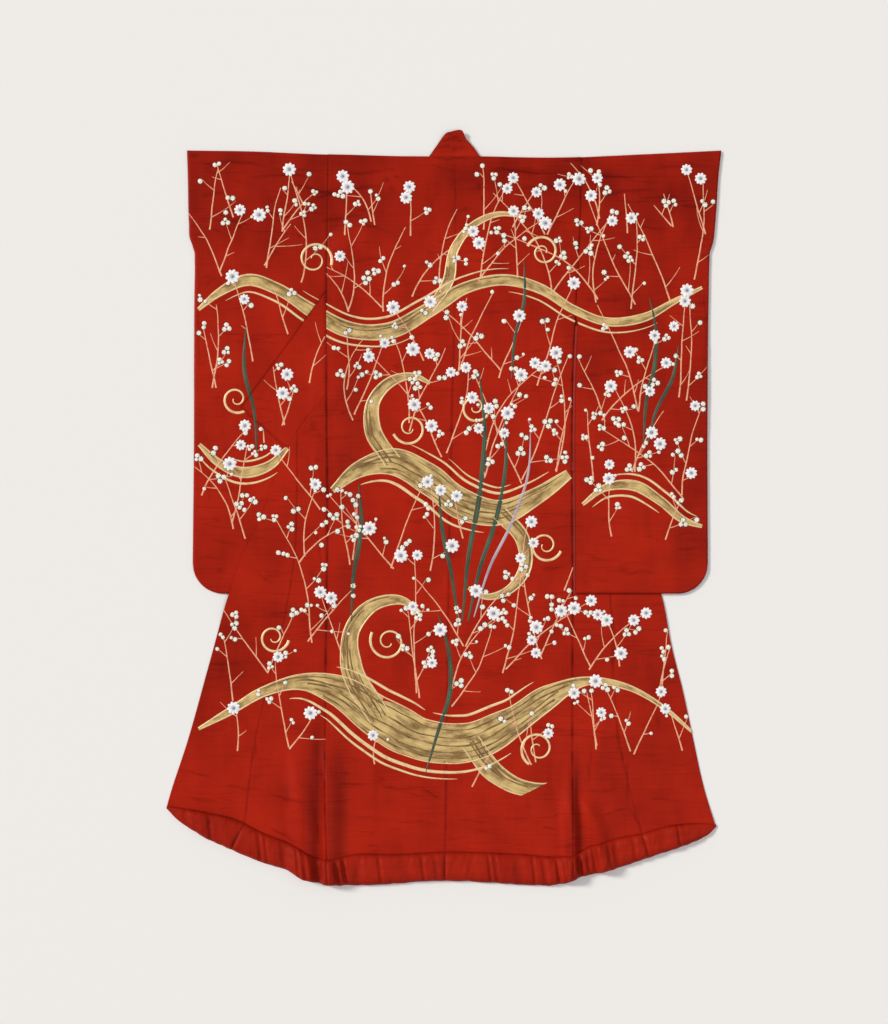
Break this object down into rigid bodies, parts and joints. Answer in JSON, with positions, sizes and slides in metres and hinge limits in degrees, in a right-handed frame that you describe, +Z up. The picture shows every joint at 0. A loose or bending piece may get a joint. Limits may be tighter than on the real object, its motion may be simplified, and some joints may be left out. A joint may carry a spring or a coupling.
{
  "type": "kimono",
  "caption": "Long-sleeved formal robe with a wadded hem, laid out flat on its front with the back up; one sleeve under and one over the spread fronts.",
  "frame": {"origin": "middle of the laid-out garment's outline, on the floor", "axes": "+X to the right of the back as seen from above, +Y from the hem to the collar, +Z up from the floor"},
  "size_m": [1.3497, 1.836, 0.0326],
  "materials": {
    "red_silk": "soft silk sheen",
    "wadded_hem": "soft silk sheen over padding",
    "red_lining": "plain silk",
    "gold_thread": "couched metal thread",
    "pale_floss": "satin stitch",
    "dark_floss": "satin stitch"
  },
  "bodies": {
    "root": {"back_left": "red_silk", "back_right": "red_silk", "front_left": "red_silk", "front_right": "red_silk", "overlap_left": "red_silk", "overlap_right": "red_silk", "collar": "red_silk", "sleeve_left": "red_silk", "sleeve_right": "red_silk", "sleeve_right_lining": "red_lining", "hem_overlap_left": "wadded_hem", "hem_front_left": "wadded_hem", "hem_back_left": "wadded_hem", "hem_back_right": "wadded_hem", "hem_front_right": "wadded_hem", "hem_overlap_right": "wadded_hem"}
  },
  "joints": []
}
